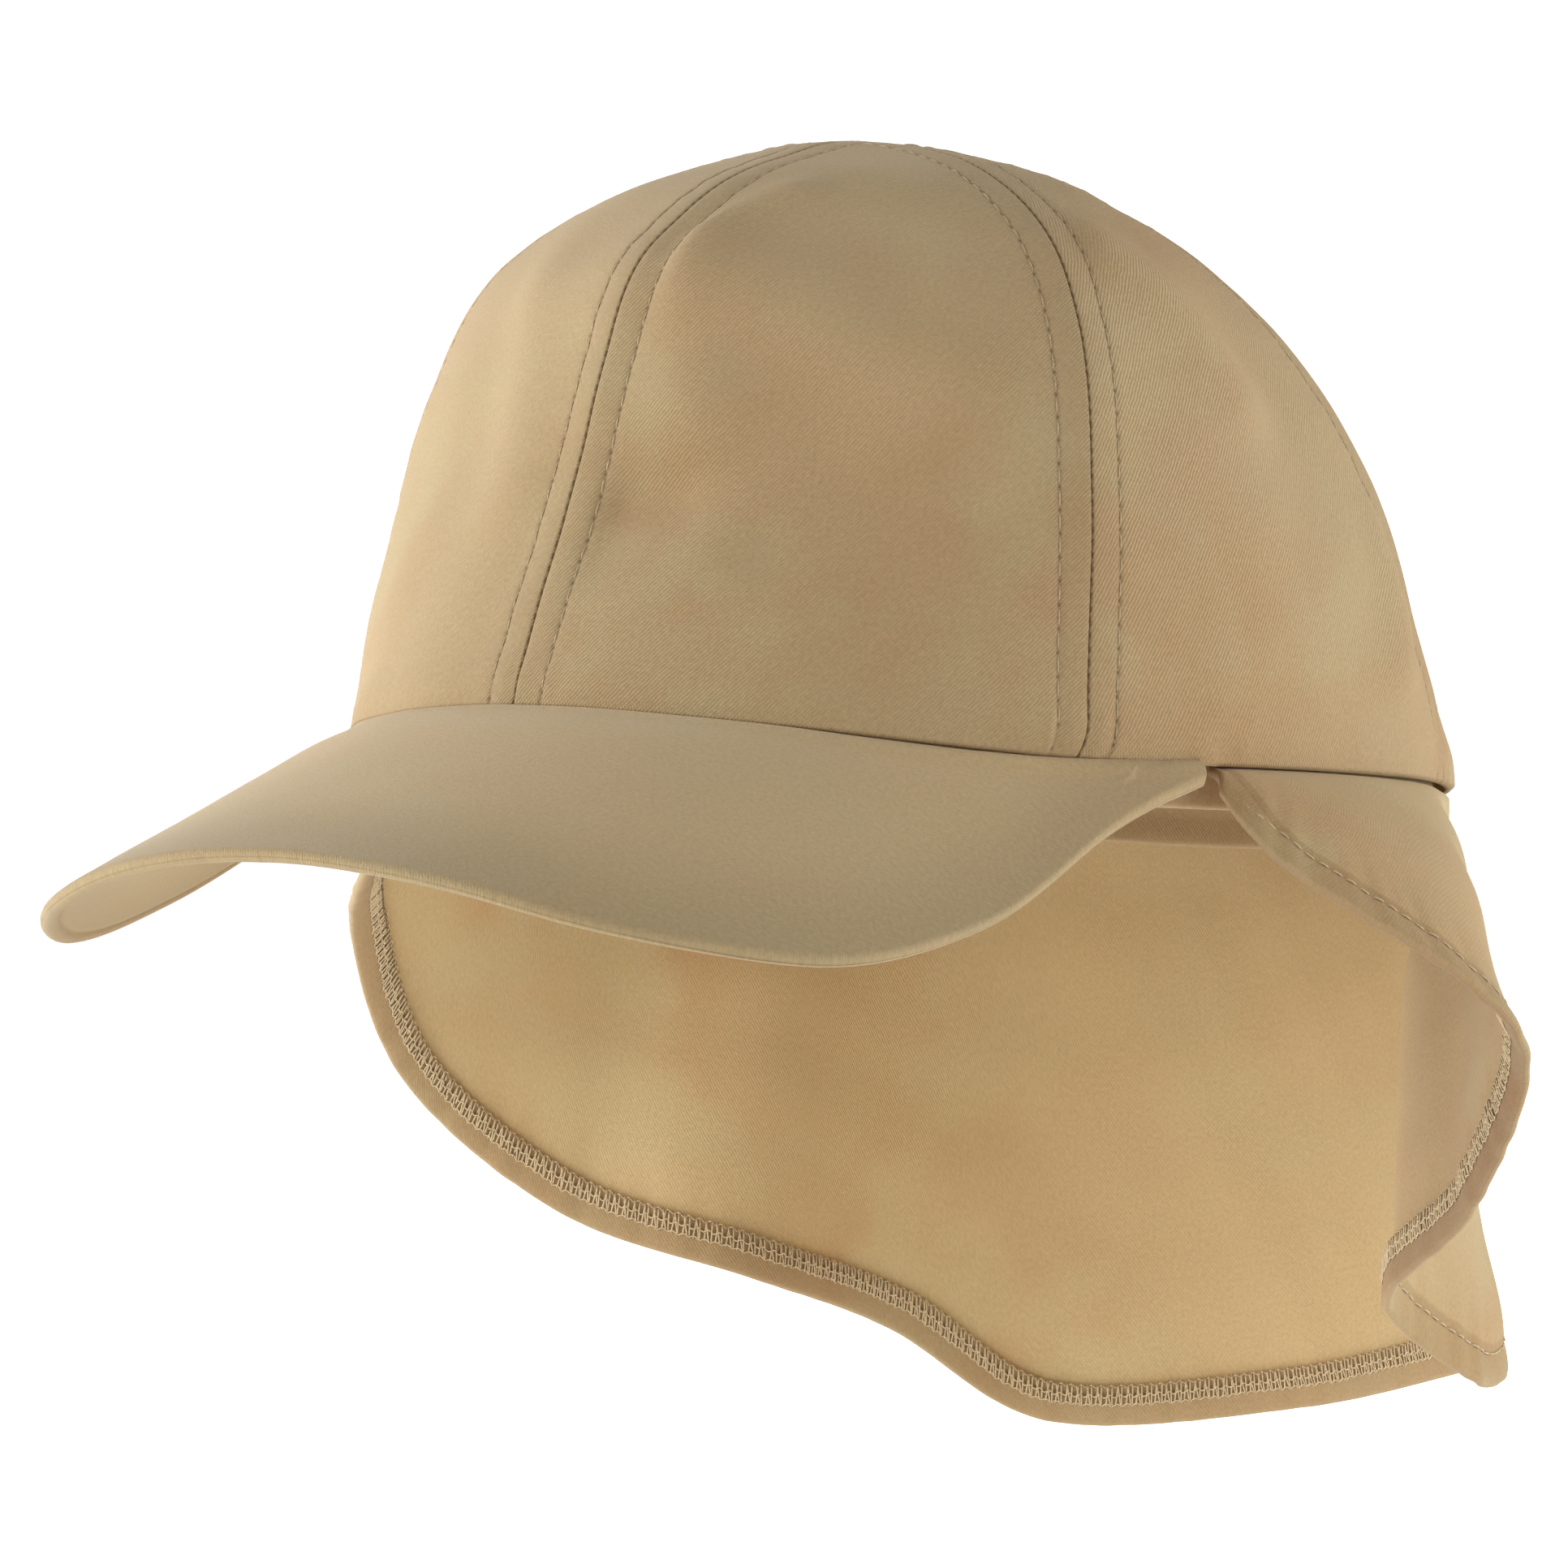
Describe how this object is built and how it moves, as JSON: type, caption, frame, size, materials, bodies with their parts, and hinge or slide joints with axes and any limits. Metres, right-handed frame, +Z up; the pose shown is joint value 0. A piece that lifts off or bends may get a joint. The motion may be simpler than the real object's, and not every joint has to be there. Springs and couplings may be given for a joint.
{
  "type": "sun cap",
  "caption": "Child's soft cloth sun cap with a six-panel crown, a curved peak at the front and a flared flap that hangs over the neck",
  "frame": {"origin": "the middle of the head opening, in the plane of the rim seam at the temples, where the cap sits on a head", "axes": "+Z up as worn, -Y the way the wearer faces, +X the wearer's left"},
  "size_m": [0.2094, 0.2421, 0.1927],
  "materials": {
    "crown_twill": "matt peach-skin twill",
    "peak_twill": "matt, fine and dense",
    "flap_twill": "matt, soft, warm inside",
    "band_twill": "matt"
  },
  "bodies": {
    "root": {"front_panel_left": "crown_twill", "front_panel_right": "crown_twill", "side_panel_left": "crown_twill", "side_panel_right": "crown_twill", "back_panel_left": "crown_twill", "back_panel_right": "crown_twill", "peak": "peak_twill", "neck_flap": "flap_twill", "inner_band": "band_twill"}
  },
  "joints": []
}
